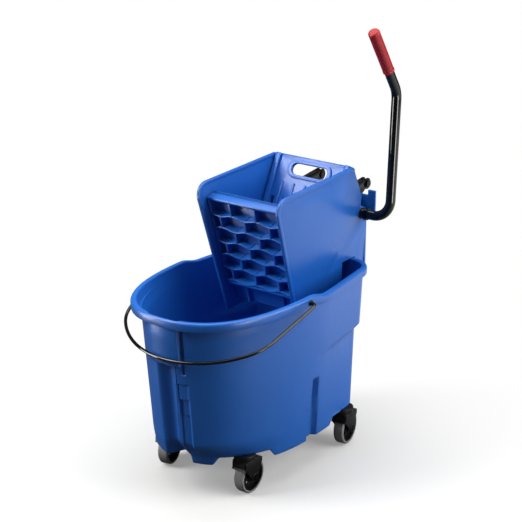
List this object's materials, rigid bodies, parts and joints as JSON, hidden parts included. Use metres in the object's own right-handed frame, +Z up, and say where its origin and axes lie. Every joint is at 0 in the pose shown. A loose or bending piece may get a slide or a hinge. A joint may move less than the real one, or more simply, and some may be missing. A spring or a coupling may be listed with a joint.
{
  "type": "side press mop wringer",
  "caption": "Blue plastic mop bucket on swivel casters with a lift-off side press wringer, a bent-tube lever with a red grip and a black wire bail.",
  "frame": {"origin": "on the floor, under the middle of the bounding box", "axes": "+X from the round pouring front to the lever end, +Y to the side away from the lever, +Z up"},
  "size_m": [0.657, 0.387, 0.9289],
  "materials": {
    "blue_plastic": "semi-gloss",
    "black_plastic": "satin",
    "black_steel": "gloss",
    "red_vinyl": "semi-gloss",
    "grey_rubber": "matte",
    "bare_steel": "satin"
  },
  "bodies": {
    "bucket": {"bucket": "blue_plastic", "bail_bushes": "black_plastic", "caster_stems": "black_steel"},
    "bail": {"bail": "black_steel"},
    "caster_front_near": {"fork_front_near": "black_plastic", "axle_front_near": "black_steel"},
    "wheel_front_near": {"hub_front_near": "black_plastic", "tyre_front_near": "grey_rubber"},
    "caster_front_far": {"fork_front_far": "black_plastic", "axle_front_far": "black_steel"},
    "wheel_front_far": {"hub_front_far": "black_plastic", "tyre_front_far": "grey_rubber"},
    "caster_rear_near": {"fork_rear_near": "black_plastic", "axle_rear_near": "black_steel"},
    "wheel_rear_near": {"hub_rear_near": "black_plastic", "tyre_rear_near": "grey_rubber"},
    "caster_rear_far": {"fork_rear_far": "black_plastic", "axle_rear_far": "black_steel"},
    "wheel_rear_far": {"hub_rear_far": "black_plastic", "tyre_rear_far": "grey_rubber"},
    "wringer": {"wringer_frame": "blue_plastic", "drain_grid": "blue_plastic", "hinge_pin": "bare_steel", "hinge_caps": "bare_steel", "shaft_bushes": "black_plastic"},
    "plate": {"press_plate": "blue_plastic"},
    "lever": {"lever_tube": "black_steel", "shaft_collars": "black_steel", "grip": "red_vinyl", "cranks": "black_steel", "crank_pins": "black_steel"},
    "links": {"links": "black_steel", "link_rivets": "black_steel"}
  },
  "joints": [
    {"name": "bail_swing", "type": "hinge", "parent": "bucket", "child": "bail", "pos_m": [-0.062, 0, 0.401], "axis": [0, 1, 0], "range_deg": [0, 93]},
    {"name": "wringer_lift", "type": "slide", "parent": "bucket", "child": "wringer", "axis": [0, 0, 1], "range_m": [0, 0.2]},
    {"name": "lever_pull", "type": "hinge", "parent": "wringer", "child": "lever", "pos_m": [0.24352, 0, 0.498], "axis": [0, -1, 0], "range_deg": [0, 80]},
    {"name": "link_turn", "type": "hinge", "parent": "lever", "child": "links", "pos_m": [0.3155, 0, 0.54246], "axis": [0, -1, 0], "range_deg": [-80, 0]},
    {"name": "plate_press", "type": "hinge", "parent": "wringer", "child": "plate", "pos_m": [0.06152, 0, 0.348], "axis": [0, -1, 0], "range_deg": [0, 29.4]},
    {"name": "swivel_front_near", "type": "hinge", "parent": "bucket", "child": "caster_front_near", "pos_m": [-0.1915, -0.105, 0.08], "axis": [0, 0, 1], "continuous": true},
    {"name": "roll_front_near", "type": "hinge", "parent": "caster_front_near", "child": "wheel_front_near", "pos_m": [-0.1775, -0.105, 0.038], "axis": [0, 1, 0], "continuous": true},
    {"name": "swivel_front_far", "type": "hinge", "parent": "bucket", "child": "caster_front_far", "pos_m": [-0.1915, 0.105, 0.08], "axis": [0, 0, 1], "continuous": true},
    {"name": "roll_front_far", "type": "hinge", "parent": "caster_front_far", "child": "wheel_front_far", "pos_m": [-0.17792, 0.10839, 0.038], "axis": [-0.2419, 0.9703, 0], "continuous": true},
    {"name": "swivel_rear_near", "type": "hinge", "parent": "bucket", "child": "caster_rear_near", "pos_m": [0.1135, -0.146, 0.08], "axis": [0, 0, 1], "continuous": true},
    {"name": "roll_rear_near", "type": "hinge", "parent": "caster_rear_near", "child": "wheel_rear_near", "pos_m": [0.12736, -0.14405, 0.038], "axis": [-0.1392, 0.9903, 0], "continuous": true},
    {"name": "swivel_rear_far", "type": "hinge", "parent": "bucket", "child": "caster_rear_far", "pos_m": [0.1135, 0.146, 0.08], "axis": [0, 0, 1], "continuous": true},
    {"name": "roll_rear_far", "type": "hinge", "parent": "caster_rear_far", "child": "wheel_rear_far", "pos_m": [0.1275, 0.146, 0.038], "axis": [0, 1, 0], "continuous": true}
  ],
  "couplings": [
    {"joint": "link_turn", "follows": "lever_pull", "ratio": -1},
    {"joint": "plate_press", "follows": "lever_pull", "ratio": 0.367}
  ]
}
